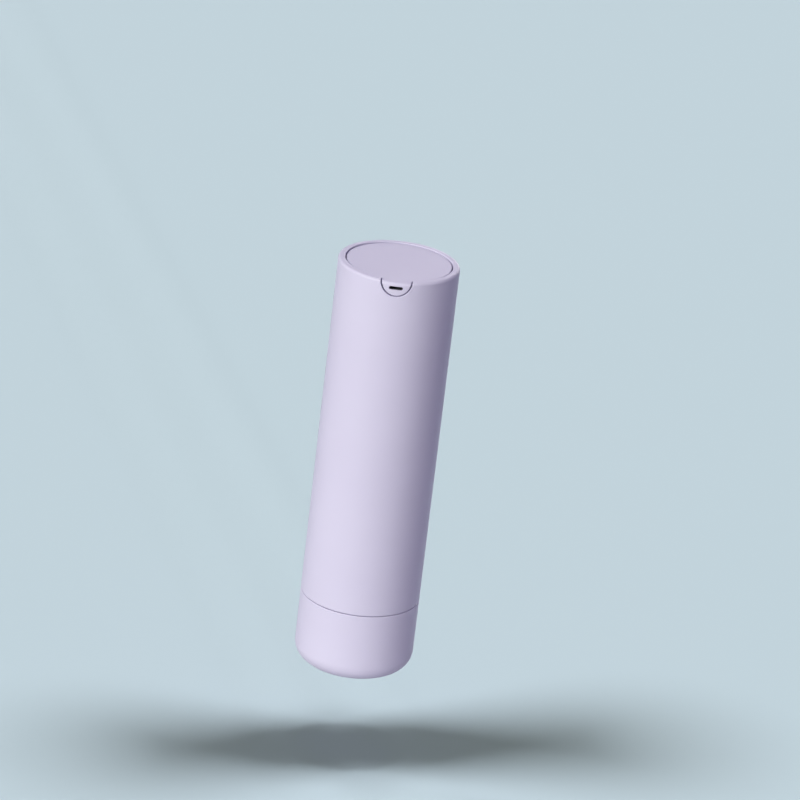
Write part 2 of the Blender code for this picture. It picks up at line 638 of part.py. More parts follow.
def return_spring(parts, look, parent):
    """The steel coil between the closure's deck and the button core, pressed together."""
    height = PLATE_UNDER - DECK_TOP - (GAP + WIRE_RADIUS) * 2
    count = SPRING_TURNS * SPRING_POINTS_PER_TURN
    climb = height / count
    points = [
        Vector((
            SPRING_RADIUS * math.cos(math.tau * i / SPRING_POINTS_PER_TURN),
            SPRING_RADIUS * math.sin(math.tau * i / SPRING_POINTS_PER_TURN),
            climb * i,
        ))
        for i in range(count + 1)
    ]
    print("spring: least gap between turns", climb * SPRING_POINTS_PER_TURN - WIRE_RADIUS * 2)
    curve = bpy.data.curves.new("return_spring", "CURVE")
    curve.dimensions = "3D"
    curve.bevel_depth = WIRE_RADIUS
    curve.bevel_resolution = 1
    curve.use_fill_caps = True
    line = curve.splines.new("POLY")
    line.points.add(count)
    for point, place in zip(line.points, points):
        point.co = (*place, 1)
    curve.materials.append(look)
    made = add_object("return_spring", curve, parts)
    made.location.z = DECK_TOP + GAP + WIRE_RADIUS
    made.parent = parent
    return made


def button_cap(parts, cutters):
    """The press face with its skirt and detent bead, the nozzle tab in front and the outlet slot."""
    lift = SKIRT_BOTTOM
    edge = DISC_TOP - DISC_EDGE_HEIGHT
    profile = arc((DISC_RADIUS - DISC_EDGE_ROUND, DISC_TOP - DISC_EDGE_ROUND), DISC_EDGE_ROUND, 90, 0, 2)
    profile += [(DISC_RADIUS, edge), (SKIRT_RADIUS, edge - DISC_RADIUS + SKIRT_RADIUS)]
    profile += bead(SKIRT_RADIUS, SKIRT_BEAD_HEIGHT, SKIRT_BOTTOM + SKIRT_BEAD_RISE, BEAD_LENGTH)
    profile += [(SKIRT_RADIUS, SKIRT_BOTTOM), (SKIRT_BORE, SKIRT_BOTTOM), (SKIRT_BORE, DISC_UNDER)]
    profile = [(0, DISC_TOP)] + profile + [(0, DISC_UNDER)]
    made = turned("button_cap", [(r, z - lift) for r, z in profile], OUTER_STEPS, parts)

    face = BODY_RADIUS - TAB_SETBACK
    radius = NOTCH_RADIUS - TAB_GAP
    blank = [(0, DISC_TOP)]
    blank += arc((face - TAB_ROUND, DISC_TOP - TAB_ROUND), TAB_ROUND, 90, 0)
    blank += [(face, DISC_TOP - NOTCH_RADIUS * 2), (0, DISC_TOP - NOTCH_RADIUS * 2)]
    tab = turned("nozzle_tab", [(r, z - lift) for r, z in blank], OUTER_STEPS, cutters)
    root = SKIRT_BORE + TAB_ROOT
    reach = BODY_RADIUS + OVERRUN - root
    round_front = cylinder(
        "tab_cutter", radius, reach, (0, -root - reach / 2, HEIGHT - lift), "Y", OUTER_STEPS, cutters
    )
    combine(tab, round_front, "INTERSECT")
    combine(made, tab, "UNION")

    level = SLOT_LEVEL - lift
    pocket = oval_bar(
        "duct_pocket_cutter", SLOT_WIDTH + (DUCT_WALL + GAP) * 2, SLOT_HEIGHT + (DUCT_WALL + GAP) * 2,
        -face + TAB_WALL, DUCT_BACK + GAP, level, cutters,
    )
    combine(made, pocket, "DIFFERENCE")
    slot = oval_bar(
        "slot_cutter", SLOT_WIDTH, SLOT_HEIGHT, -face - OVERRUN, -face + TAB_WALL * 2, level, cutters
    )
    combine(made, slot, "DIFFERENCE")
    return made


def button_core(parts, cutters):
    """The button's inner half: plate, stem socket, duct to the slot and two key legs."""
    lift = BOSS_BOTTOM
    profile = [(0, PLATE_TOP), (CORE_RADIUS, PLATE_TOP), (CORE_RADIUS, PLATE_UNDER)]
    profile += [(BOSS_RADIUS, PLATE_UNDER), (BOSS_RADIUS, BOSS_BOTTOM), (0, BOSS_BOTTOM)]
    made = turned("button_core", [(r, z - lift) for r, z in profile], INNER_STEPS, parts)
    for side in (-1, 1):
        size = (KEY_THICKNESS, KEY_WIDTH, KEY_LENGTH + CORE_PLATE / 2)
        top = PLATE_TOP - CORE_PLATE / 2 - lift
        centre = (side * (KEY_OUTER + KEY_INNER) / 2, 0, top - size[2] / 2)
        combine(made, box("key_leg", size, centre, cutters), "UNION")
    front = -BODY_RADIUS + TAB_SETBACK + TAB_WALL + GAP
    level = SLOT_LEVEL - lift
    duct = oval_bar(
        "duct", SLOT_WIDTH + DUCT_WALL * 2, SLOT_HEIGHT + DUCT_WALL * 2, front, DUCT_BACK, level, cutters
    )
    combine(made, duct, "UNION")
    bore = oval_bar(
        "duct_bore_cutter", SLOT_WIDTH, SLOT_HEIGHT, front - OVERRUN, DUCT_BACK - DUCT_WALL * 2,
        level, cutters,
    )
    combine(made, bore, "DIFFERENCE")
    depth = SOCKET_DEPTH + OVERRUN
    socket = cylinder(
        "socket_cutter", STEM_HOLE, depth, (0, 0, (SOCKET_DEPTH - OVERRUN) / 2), "Z", PUMP_STEPS, cutters
    )
    combine(made, socket, "DIFFERENCE")
    riser = cylinder("riser_cutter", STEM_BORE, level, (0, 0, level / 2), "Z", PUMP_STEPS, cutters)
    combine(made, riser, "DIFFERENCE")
    return made


def build():
    clear_scene()
    parts = new_collection("sunscreen_bottle")
    cutters = new_collection("cutters")

    shell = material("lilac_shell", LILAC, 0.42)
    press = material("lilac_button", LILAC_BUTTON, 0.45)
    natural = material("natural_plastic", NATURAL, 0.35)
    white = material("white_plastic", WHITE, 0.4)
    charcoal = material("charcoal_plastic", CHARCOAL, 0.5)
    elastomer = material("grey_elastomer", ELASTOMER, 0.7)
    steel = material("spring_steel", STEEL, 0.3, 1.0)

    base = frame("base_frame", parts)
    sleeve = frame("sleeve_turn", parts, base)
    carriage = frame("carriage_lift", parts, sleeve)
    button = frame("button_slide", parts, carriage)

    finish(base_cap(parts), shell, base)
    finish(cam_tube(parts, cutters), white, base)
    finish(friction_ring(parts), elastomer, base, RING_LEVEL)
    finish(outer_sleeve(parts, cutters), shell, sleeve, SLEEVE_BOTTOM)
    finish(carrier(parts, cutters), white, carriage, CARRIER_BOTTOM)
    finish(cartridge(parts), natural, carriage, CARTRIDGE_BOTTOM)
    finish(cartridge_plug(parts), white, carriage, CARTRIDGE_BOTTOM)
    finish(pump_housing(parts), natural, carriage, INLET_BOTTOM)
    finish(ball_retainer(parts), natural, carriage, RETAINER_BOTTOM)
    finish(neck_gasket(parts), elastomer, carriage, GASKET_BOTTOM)
    finish(stem_bushing(parts), white, carriage, BUSHING_BOTTOM)
    finish(pump_closure(parts, cutters), white, carriage, CLOSURE_BOTTOM)
    return_spring(parts, steel, carriage)
    finish(follower_piston(parts), white, carriage, FOLLOWER_BOTTOM)
    finish(inlet_ball(parts), steel, carriage, BALL_LEVEL)
    finish(button_cap(parts, cutters), press, button, SKIRT_BOTTOM)
    finish(button_core(parts, cutters), charcoal, button, BOSS_BOTTOM)
    finish(stem(parts, cutters), natural, button, STEM_BOTTOM)
    finish(stem_foot(parts), white, button, FOOT_BOTTOM)
    finish(pump_piston(parts), natural, button, PISTON_BOTTOM)


build()
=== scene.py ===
"""Looks of the twist-up airless pump bottle: satin lilac shells, press button, spring, light and camera.

Metres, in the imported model's frame: +Z up the bottle's axis, the outlet slot looks along -Y.
Levels are measured from the bottle's underside, and angles are in degrees.
"""

import json
import math

import bmesh
import bpy
from mathutils import Matrix, Vector

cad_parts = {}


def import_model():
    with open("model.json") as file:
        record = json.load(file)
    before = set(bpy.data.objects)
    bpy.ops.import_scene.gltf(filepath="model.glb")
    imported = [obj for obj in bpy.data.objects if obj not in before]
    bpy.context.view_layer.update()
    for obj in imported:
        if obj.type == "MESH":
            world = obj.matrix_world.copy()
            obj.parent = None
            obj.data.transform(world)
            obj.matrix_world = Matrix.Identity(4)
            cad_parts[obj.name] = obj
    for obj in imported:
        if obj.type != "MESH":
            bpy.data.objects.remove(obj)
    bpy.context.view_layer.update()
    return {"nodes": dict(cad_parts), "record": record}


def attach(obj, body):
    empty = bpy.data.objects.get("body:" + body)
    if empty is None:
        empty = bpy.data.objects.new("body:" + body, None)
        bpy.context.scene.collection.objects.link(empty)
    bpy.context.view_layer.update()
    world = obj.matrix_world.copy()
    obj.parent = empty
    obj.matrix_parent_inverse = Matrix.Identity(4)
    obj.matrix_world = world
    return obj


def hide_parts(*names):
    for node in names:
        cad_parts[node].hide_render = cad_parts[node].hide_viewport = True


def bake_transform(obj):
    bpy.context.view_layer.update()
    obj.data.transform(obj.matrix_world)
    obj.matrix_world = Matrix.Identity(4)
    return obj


# Cuts, welds and the fineness of the meshes
OVERRUN = 0.002
WELD = 0.000004
MERGE = 0.000001
TURN_STEPS = 192
ARC_STEPS = 8
SMALL_ARC_STEPS = 5
FOOT_ARC_STEPS = 24
SLOT_ARC_STEPS = 12
NOTCH_STEPS = 120
BALL_DIVISIONS = 4
SHARP_DEGREES = 38

# The small round that a mould gives every sharp edge
EDGE_ROUND = 0.00012
EDGE_DEGREES = 40
EDGE_SEGMENTS = 3

# Outer form
HEIGHT = 0.137
BODY_RADIUS = 0.019
SHELL_WALL = 0.0018
SHELL_BORE = BODY_RADIUS - SHELL_WALL
BASE_TOP = 0.02376
SEAM_GAP = 0.00026
SLEEVE_BOTTOM = BASE_TOP + SEAM_GAP
SEAM_ROUND = 0.00026
FOOT_ROUND = 0.0059
RIM_WALL = 0.0022
RIM_BORE = BODY_RADIUS - RIM_WALL
RIM_BORE_BOTTOM = 0.122
RIM_BORE_SLOPE = 0.0006
RIM_ROUND = 0.001
RIM_INNER_ROUND = 0.0003

# Inside of the sleeve and the base
SLEEVE_BEAD_HEIGHT = 0.00025
SLEEVE_BEAD_LEVEL = 0.1286
BEAD_LENGTH = 0.0008
GROOVE_DEPTH = 0.0006
GROOVE_LENGTH = 0.0024
SLEEVE_GROOVE_LEVEL = 0.029
BASE_GROOVE_LEVEL = 0.014
REBATE_DEPTH = 0.0009
REBATE_RADIUS = SHELL_BORE + REBATE_DEPTH
REBATE_TOP = 0.02505
LUG_GROOVE_DEPTH = 0.00085
LUG_GROOVE_RADIUS = SHELL_BORE + LUG_GROOVE_DEPTH
LUG_GROOVE_WIDTH = 0.0036
LUG_GROOVE_TOP = 0.0386
SEAT_RADIUS = 0.009
SEAT_TOP = 0.003

# Press button
DISC_GAP = 0.0004
DISC_RADIUS = RIM_BORE - DISC_GAP
DISC_DROP = 0.0003
DISC_TOP = HEIGHT - DISC_DROP
DISC_THICKNESS = 0.0012
DISC_UNDER = DISC_TOP - DISC_THICKNESS
DISC_ROUND = 0.00025
DISC_EDGE_HEIGHT = 0.0022
DISC_EDGE_BOTTOM = DISC_TOP - DISC_EDGE_HEIGHT
SKIRT_STEP = 0.00045
SKIRT_RADIUS = DISC_RADIUS - SKIRT_STEP
SKIRT_WALL = 0.001
SKIRT_BORE = SKIRT_RADIUS - SKIRT_WALL
SKIRT_BOTTOM = 0.1256
SKIRT_BEAD_HEIGHT = 0.0003
SKIRT_BEAD_LEVEL = 0.1274

# Nozzle notch in the sleeve, and the button's tab with the outlet slot
NOTCH_RADIUS = 0.00495
TAB_GAP = 0.0004
TAB_RADIUS = NOTCH_RADIUS - TAB_GAP
TAB_SET_BACK = 0.00015
TAB_FACE = BODY_RADIUS - TAB_SET_BACK
TAB_ROUND = 0.0011
TAB_WALL = 0.0007
TAB_ROOT = 0.0151
TAB_BLANK_BOTTOM = 0.1268
SLOT_WIDTH = 0.0043
SLOT_HEIGHT = 0.0011
SLOT_DROP = 0.00215
SLOT_LEVEL = HEIGHT - SLOT_DROP
POCKET_MARGIN = 0.00065
POCKET_BACK = 0.0027

# Valve ball, and return spring: its closed pitch is a share of the wire's radius, and the coil opens
# between two shares of its length
SPRING_RADIUS = 0.0063
SPRING_WIRE_RADIUS = 0.00035
SPRING_BOTTOM = 0.1274
SPRING_TOP = 0.1339
SPRING_TURNS = 5
SPRING_TURN_STEPS = 36
SPRING_WIRE_STEPS = 12
CLOSED_PITCH_SHARE = 2.1
OPEN_TURNS_SHARES = (0.16, 0.84)
BALL_RADIUS = 0.0016
BALL_LEVEL = 0.103949

# Camera: a long lens a little above the bottle, rolled so that the bottle leans to the right
CAMERA_PLACE = (0.00531, -1.3175, 0.6220)
CAMERA_DOWN = 21.955
CAMERA_ROLL = 6.86
CAMERA_LENS = 203.9
CAMERA_SENSOR = 36
CAMERA_CLIP = (0.01, 20)

# Floor and pale background: what the camera sees, and the dimmer light that they give the object
FLOOR_LEVEL = -0.0315
FLOOR_SIZE = 6.0
FLOOR_ROUGHNESS = 0.9
BACKGROUND = (0.539, 0.651, 0.708)
FLOOR_BOUNCE = (0.20, 0.19, 0.27)
AMBIENT = (0.90, 0.93, 1.0)
AMBIENT_STRENGTH = 0.03

# Lamps on the object: a strength of 1 shows a facing white surface as white
WHITE_LIGHT = math.pi
OVERHEAD = 90
KEY = {"strength": 1.00, "side": -37, "rise": 24, "size": 48, "tint": (0.985, 1.0, 0.89)}
FILL = {"strength": 0.04, "side": 45, "rise": 5, "size": 60, "tint": (0.97, 0.93, 1.0)}
BACK = {"strength": 0.40, "side": 165, "rise": 8, "size": 30, "tint": (1.0, 0.96, 0.96)}
DOME = {"strength": 0.285, "side": 0, "rise": OVERHEAD, "size": 150, "tint": (0.83, 0.72, 1.0)}
LOW_WIDTH = 0.30
LOW_POWER = 0.068
LOW_PLACE = (0.07, 0.01, -0.030)

# Lamps on the floor: an even one and a row of three, each over its own strip of the floor. A lamp of
# the row leans to the left where its lean is negative, and its strip runs from low to high along the row
FLOOR_LIGHT = 0.975
EVEN_SHARE = 0.245
EVEN_SIZE = 150
EVEN_TINT = (1.0, 1.0, 0.90)
ROW_TURN = 16.7
ROW_TINT = (1.0, 1.0, 1.032)
LEFT_STRIP_END = -0.0095
RIGHT_STRIP_START = 0.0135
ROW = (
    {
        "name": "row_left", "lean": -31.5, "size": 20.5, "card_height": 0.0813,
        "low": RIGHT_STRIP_START, "high": None,
    },
    {
        "name": "row_middle", "lean": -1.3, "size": 12.1, "card_height": 0.190,
        "low": LEFT_STRIP_END, "high": RIGHT_STRIP_START,
    },
    {
        "name": "row_right", "lean": 24.5, "size": 22.5, "card_height": 0.0843,
        "low": None, "high": LEFT_STRIP_END,
    },
)
CARD_SIZE = 4.0

# Colours, each with the paler tone it drifts to
LILAC = (0.635, 0.602, 0.775)
LILAC_PALE = (0.650, 0.618, 0.79)
WHITE = (0.80, 0.80, 0.79)
WHITE_PALE = (0.84, 0.84, 0.835)
NATURAL = (0.78, 0.80, 0.77)
NATURAL_PALE = (0.84, 0.85, 0.83)
# Charcoal for the duct behind the outlet slot; its near-black also paints the deep shade inside the slot
CHARCOAL_AND_SLOT_SHADE = (0.022, 0.022, 0.027)
CHARCOAL_AND_SLOT_SHADE_PALE = (0.030, 0.030, 0.036)
SEAL_GREY = (0.045, 0.045, 0.05)
SEAL_GREY_PALE = (0.06, 0.06, 0.066)
STEEL = (0.60, 0.60, 0.61)
STEEL_PALE = (0.68, 0.68, 0.69)

# Shares of a grain's full swing over which a finish drifts, in tone and in roughness
TONE_SHARES = (0.35, 0.65)
ROUGHNESS_SHARES = (0.3, 0.7)


# Nodes


def node(tree, kind, **values):
    made = tree.nodes.new(kind)
    for name, value in values.items():
        setattr(made, name, value)
    return made


def math_node(tree, operation, first, second=0):
    """A Math node's result; each side is a socket or a number."""
    made = node(tree, "ShaderNodeMath", operation=operation)
    for side, value in zip(made.inputs, (first, second)):
        if isinstance(value, bpy.types.NodeSocket):
            tree.links.new(value, side)
        else:
            side.default_value = value
    return made.outputs["Value"]


def colour_socket(sockets, name):
    """The colour one among a Mix node's sockets, several of which share a name."""
    return next(one for one in sockets if one.name == name and one.type == "RGBA")


def shown_rays(tree):
    """A share of 1 for the rays that show the background: seen straight, mirrored or through glass."""
    path = node(tree, "ShaderNodeLightPath").outputs
    share = math_node(tree, "MAXIMUM", path["Is Camera Ray"], path["Is Glossy Ray"])
    return math_node(tree, "MAXIMUM", share, path["Is Transmission Ray"])


# Finishes


def finish_base(name, roughness):
    """A new material with its shader; constants go on the shader's own sockets."""
    made = bpy.data.materials.new(name)
    made.use_nodes = True
    tree = made.node_tree
    shader = tree.nodes["Principled BSDF"]
    shader.inputs["Roughness"].default_value = roughness
    place = node(tree, "ShaderNodeTexCoord")
    return made, tree, shader, place.outputs["Object"]


def grain(tree, place, cycles, detail, stretch=None):
    """Noise over the piece's own coordinates, at so many cycles in a metre."""
    noise = node(tree, "ShaderNodeTexNoise")
    noise.inputs["Scale"].default_value = cycles
    noise.inputs["Detail"].default_value = detail
    if stretch:
        mapping = node(tree, "ShaderNodeMapping")
        mapping.inputs["Scale"].default_value = stretch
        tree.links.new(place, mapping.inputs["Vector"])
        place = mapping.outputs["Vector"]
    tree.links.new(place, noise.inputs["Vector"])
    return noise.outputs["Fac"]


def colour_drift(tree, shader, source, *tones):
    """The moulding's slow drift between two near tones."""
    ramp = node(tree, "ShaderNodeValToRGB")
    for element, share, tone in zip(ramp.color_ramp.elements, TONE_SHARES, tones):
        element.position = share
        element.color = (*tone, 1.0)
    tree.links.new(source, ramp.inputs["Fac"])
    tree.links.new(ramp.outputs["Color"], shader.inputs["Base Color"])


def roughness_drift(tree, shader, source, smooth, rough):
    ranged = node(tree, "ShaderNodeMapRange")
    for name, value in zip(("From Min", "From Max", "To Min", "To Max"), (*ROUGHNESS_SHARES, smooth, rough)):
        ranged.inputs[name].default_value = value
    tree.links.new(source, ranged.inputs["Value"])
    tree.links.new(ranged.outputs["Result"], shader.inputs["Roughness"])


def surface_grain(tree, shader, source, strength, depth):
    bump = node(tree, "ShaderNodeBump")
    bump.inputs["Strength"].default_value = strength
    bump.inputs["Distance"].default_value = depth
    tree.links.new(source, bump.inputs["Height"])
    tree.links.new(bump.outputs["Normal"], shader.inputs["Normal"])


def satin_lilac(name):
    """Mass-coloured shell plastic with a fine spark-eroded satin grain."""
    made, tree, shader, place = finish_base(name, roughness=0.45)
    shader.inputs["IOR"].default_value = 1.47
    shader.inputs["Specular IOR Level"].default_value = 0.22
    colour_drift(tree, shader, grain(tree, place, cycles=38, detail=2), LILAC, LILAC_PALE)
    roughness_drift(tree, shader, grain(tree, place, cycles=420, detail=4), smooth=0.44, rough=0.52)
    surface_grain(tree, shader, grain(tree, place, cycles=5200, detail=2), strength=0.16, depth=0.00002)
    return made


def moulded_white(name):
    made, tree, shader, place = finish_base(name, roughness=0.4)
    shader.inputs["IOR"].default_value = 1.49
    colour_drift(tree, shader, grain(tree, place, cycles=60, detail=2), WHITE, WHITE_PALE)
    roughness_drift(tree, shader, grain(tree, place, cycles=500, detail=3), smooth=0.34, rough=0.46)
    surface_grain(tree, shader, grain(tree, place, cycles=2600, detail=2), strength=0.12, depth=0.00002)
    return made


# A near-black moulding for the duct behind the outlet slot, which also paints the deep shade seen in the slot
def charcoal_and_slot_shade(name):
    made, tree, shader, place = finish_base(name, roughness=0.5)
    shader.inputs["IOR"].default_value = 1.49
    shader.inputs["Specular IOR Level"].default_value = 0.25
    colour_drift(tree, shader, grain(tree, place, cycles=80, detail=2), CHARCOAL_AND_SLOT_SHADE, CHARCOAL_AND_SLOT_SHADE_PALE)
    roughness_drift(tree, shader, grain(tree, place, cycles=500, detail=3), smooth=0.46, rough=0.56)
    surface_grain(tree, shader, grain(tree, place, cycles=2600, detail=2), strength=0.12, depth=0.00002)
    return made


def milky_natural(name):
    """Uncoloured polypropylene: light goes a little way in, with faint flow marks along the draw."""
    made, tree, shader, place = finish_base(name, roughness=0.3)
    shader.inputs["IOR"].default_value = 1.49
    shader.inputs["Subsurface Weight"].default_value = 0.3
    shader.inputs["Subsurface Radius"].default_value = (1.0, 1.0, 0.9)
    shader.inputs["Subsurface Scale"].default_value = 0.0015
    flow = grain(tree, place, cycles=90, detail=2, stretch=(1, 1, 0.2))
    colour_drift(tree, shader, flow, NATURAL, NATURAL_PALE)
    sheen = grain(tree, place, cycles=300, detail=3, stretch=(1, 1, 0.25))
    roughness_drift(tree, shader, sheen, smooth=0.26, rough=0.34)
    surface_grain(tree, shader, grain(tree, place, cycles=2600, detail=2), strength=0.06, depth=0.00001)
    return made


def soft_seal(name):
    made, tree, shader, place = finish_base(name, roughness=0.7)
    colour_drift(tree, shader, grain(tree, place, cycles=200, detail=2), SEAL_GREY, SEAL_GREY_PALE)
    roughness_drift(tree, shader, grain(tree, place, cycles=900, detail=3), smooth=0.62, rough=0.78)
    surface_grain(tree, shader, grain(tree, place, cycles=3800, detail=2), strength=0.3, depth=0.00003)
    return made


def drawn_steel(name):
    made, tree, shader, place = finish_base(name, roughness=0.28)
    shader.inputs["Metallic"].default_value = 1.0
    colour_drift(tree, shader, grain(tree, place, cycles=700, detail=2), STEEL, STEEL_PALE)
    roughness_drift(tree, shader, grain(tree, place, cycles=2400, detail=3), smooth=0.2, rough=0.34)
    surface_grain(tree, shader, grain(tree, place, cycles=5200, detail=2), strength=0.1, depth=0.00001)
    return made


def plain_floor(name):
    """Shows the pale background's colour, and throws back less light than that at the object."""
    made = bpy.data.materials.new(name)
    made.use_nodes = True
    tree = made.node_tree
    shader = tree.nodes["Principled BSDF"]
    shader.inputs["Roughness"].default_value = FLOOR_ROUGHNESS
    shader.inputs["Specular IOR Level"].default_value = 0.0
    mix = node(tree, "ShaderNodeMix", data_type="RGBA")
    colour_socket(mix.inputs, "A").default_value = (*FLOOR_BOUNCE, 1.0)
    colour_socket(mix.inputs, "B").default_value = (*BACKGROUND, 1.0)
    tree.links.new(shown_rays(tree), mix.inputs["Factor"])
    tree.links.new(colour_socket(mix.outputs, "Result"), shader.inputs["Base Color"])
    return made


# Geometry trees


def start_tree(name, **kinds):
    """A tree that gives geometry, with a named input of each given kind."""
    tree = bpy.data.node_groups.new(name, "GeometryNodeTree")
    tree.interface.new_socket("Geometry", in_out="OUTPUT", socket_type="NodeSocketGeometry")
    for label, kind in kinds.items():
        tree.interface.new_socket(label, in_out="INPUT", socket_type=f"NodeSocket{kind}")
    return tree, node(tree, "NodeGroupInput").outputs


def end_tree(tree, geometry, finish):
    """Every tree ends in Realize Instances and Set Material."""
    link = tree.links.new
    real = node(tree, "GeometryNodeRealizeInstances")
    link(geometry, real.inputs["Geometry"])
    painted = node(tree, "GeometryNodeSetMaterial")
    link(real.outputs["Geometry"], painted.inputs["Geometry"])
    link(finish, painted.inputs["Material"])
    link(painted.outputs["Geometry"], node(tree, "NodeGroupOutput").inputs["Geometry"])
    return tree


def turning_tree():
    """Turns a profile, whose points stand in order in the XZ plane, round Z."""
    tree, given = start_tree("turned_piece", Profile="Geometry", Steps="Int", Weld="Float", Finish="Material")
    link = tree.links.new
    profile = given["Profile"]
    count = node(tree, "GeometryNodeAttributeDomainSize")
    link(profile, count.inputs["Geometry"])
    across = math_node(tree, "ADD", given["Steps"], 1)
    grid = node(tree, "GeometryNodeMeshGrid")
    link(count.outputs["Point Count"], grid.inputs["Vertices X"])
    link(across, grid.inputs["Vertices Y"])
    index = node(tree, "GeometryNodeInputIndex").outputs["Index"]
    middle = math_node(tree, "ADD", index, 0.5)
    row = math_node(tree, "FLOOR", math_node(tree, "DIVIDE", middle, across))
    column = math_node(tree, "SUBTRACT", index, math_node(tree, "MULTIPLY", row, across))
    point = node(tree, "GeometryNodeSampleIndex", data_type="FLOAT_VECTOR", domain="POINT")
    link(profile, point.inputs["Geometry"])
    link(node(tree, "GeometryNodeInputPosition").outputs["Position"], point.inputs["Value"])
    link(row, point.inputs["Index"])
    angle = math_node(tree, "DIVIDE", math_node(tree, "MULTIPLY", column, math.tau), given["Steps"])
    swing = node(tree, "ShaderNodeVectorRotate", rotation_type="Z_AXIS")
    link(point.outputs["Value"], swing.inputs["Vector"])
    link(angle, swing.inputs["Angle"])
    placed = node(tree, "GeometryNodeSetPosition")
    link(grid.outputs["Mesh"], placed.inputs["Geometry"])
    link(swing.outputs["Vector"], placed.inputs["Position"])
    welded = node(tree, "GeometryNodeMergeByDistance")
    link(placed.outputs["Geometry"], welded.inputs["Geometry"])
    link(given["Weld"], welded.inputs["Distance"])
    return end_tree(tree, welded.outputs["Geometry"], given["Finish"])


def spring_tree():
    """A compression coil with closed ends: a line bent round Z, climbing fast in its middle turns."""
    tree, given = start_tree(
        "coil_spring", Radius="Float", Wire="Float", Bottom="Float", Top="Float",
        Turns="Int", Points="Int", Finish="Material",
    )
    link = tree.links.new
    line = node(tree, "GeometryNodeMeshLine")
    link(given["Points"], line.inputs["Count"])
    last = math_node(tree, "SUBTRACT", given["Points"], 1)
    share = math_node(tree, "DIVIDE", node(tree, "GeometryNodeInputIndex").outputs["Index"], last)
    angle = math_node(tree, "MULTIPLY", math_node(tree, "MULTIPLY", share, given["Turns"]), math.tau)
    pitch = math_node(tree, "MULTIPLY", given["Wire"], CLOSED_PITCH_SHARE)
    closed = math_node(tree, "MULTIPLY", pitch, given["Turns"])
    low = math_node(tree, "ADD", given["Bottom"], given["Wire"])
    high = math_node(tree, "SUBTRACT", given["Top"], given["Wire"])
    spare = math_node(tree, "SUBTRACT", math_node(tree, "SUBTRACT", high, low), closed)
    active = node(tree, "ShaderNodeMapRange", interpolation_type="SMOOTHSTEP")
    link(share, active.inputs["Value"])
    for name, value in zip(("From Min", "From Max"), OPEN_TURNS_SHARES):
        active.inputs[name].default_value = value
    level = math_node(tree, "ADD", low, math_node(tree, "MULTIPLY", closed, share))
    level = math_node(tree, "ADD", level, math_node(tree, "MULTIPLY", spare, active.outputs["Result"]))
    place = node(tree, "ShaderNodeCombineXYZ")
    link(math_node(tree, "MULTIPLY", given["Radius"], math_node(tree, "COSINE", angle)), place.inputs["X"])
    link(math_node(tree, "MULTIPLY", given["Radius"], math_node(tree, "SINE", angle)), place.inputs["Y"])
    link(level, place.inputs["Z"])
    bent = node(tree, "GeometryNodeSetPosition")
    link(line.outputs["Mesh"], bent.inputs["Geometry"])
    link(place.outputs["Vector"], bent.inputs["Position"])
    path = node(tree, "GeometryNodeMeshToCurve")
    link(bent.outputs["Geometry"], path.inputs["Mesh"])
    section = node(tree, "GeometryNodeCurvePrimitiveCircle")
    section.inputs["Resolution"].default_value = SPRING_WIRE_STEPS
    link(given["Wire"], section.inputs["Radius"])
    wire = node(tree, "GeometryNodeCurveToMesh")
    link(path.outputs["Curve"], wire.inputs["Curve"])
    link(section.outputs["Curve"], wire.inputs["Profile Curve"])
    wire.inputs["Fill Caps"].default_value = True
    return end_tree(tree, wire.outputs["Mesh"], given["Finish"])


def grow(made, tree, **values):
    """Puts a tree on an object, with its named inputs set by their identifiers."""
    modifier = made.modifiers.new(tree.name, "NODES")
    modifier.node_group = tree
    for item in tree.interface.items_tree:
        if item.in_out == "INPUT" and item.name in values:
            modifier[item.identifier] = values[item.name]
    return made


# Outlines


def arc(centre, radius, start, end, steps=ARC_STEPS):
    """Points of an arc in the profile's plane, its angles from +X."""
    turns = [math.radians(start + (end - start) * i / steps) for i in range(steps + 1)]
    return [(centre[0] + radius * math.cos(a), centre[1] + radius * math.sin(a)) for a in turns]


def bead(radius, height, middle, length):
    """Points, top first, of a ring bead or groove that steps outwards by height, or inwards if negative."""
    half, slope = length / 2, abs(height)
    return [
        (radius, middle + half),
        (radius + height, middle + half - slope),
        (radius + height, middle - half + slope),
        (radius, middle - half),
    ]


def circle_outline(radius):
    turns = [math.tau * i / NOTCH_STEPS for i in range(NOTCH_STEPS)]
    return [(radius * math.cos(a), radius * math.sin(a)) for a in turns]


def oval_outline(width, height):
    reach, end = (width - height) / 2, height / 2
    right = arc((reach, 0), end, -90, 90, SLOT_ARC_STEPS)
    left = arc((-reach, 0), end, 90, 270, SLOT_ARC_STEPS)
    return right + left


# Modelling tools


def add_object(name, mesh):
    made = bpy.data.objects.new(name, mesh)
    bpy.context.scene.collection.objects.link(made)
    return made


def from_bmesh(name, shape):
    mesh = bpy.data.meshes.new(name)
    shape.to_mesh(mesh)
    shape.free()
    return add_object(name, mesh)


def settle(made):
    """Turns an object with modifiers into a plain mesh."""
    bpy.context.view_layer.update()
    mesh = bpy.data.meshes.new_from_object(made.evaluated_get(bpy.context.evaluated_depsgraph_get()))
    made.modifiers.clear()
    made.data = mesh
    return made


def turned(name, profile, tree, finish):
    """Turns a profile of (radius, height) points, whose outer side runs down, and closes a ring's profile."""
    if profile[0][0] > 0:
        profile = profile + profile[:1]
    mesh = bpy.data.meshes.new(name)
    edges = [(i, i + 1) for i in range(len(profile) - 1)]
    mesh.from_pydata([(r, 0, z) for r, z in profile], edges, [])
    return settle(grow(add_object(name, mesh), tree, Steps=TURN_STEPS, Weld=WELD, Finish=finish))


def box(name, size, centre):
    shape = bmesh.new()
    bmesh.ops.create_cube(shape, size=1.0)
    bmesh.ops.scale(shape, vec=size, verts=shape.verts)
    bmesh.ops.translate(shape, vec=centre, verts=shape.verts)
    return from_bmesh(name, shape)


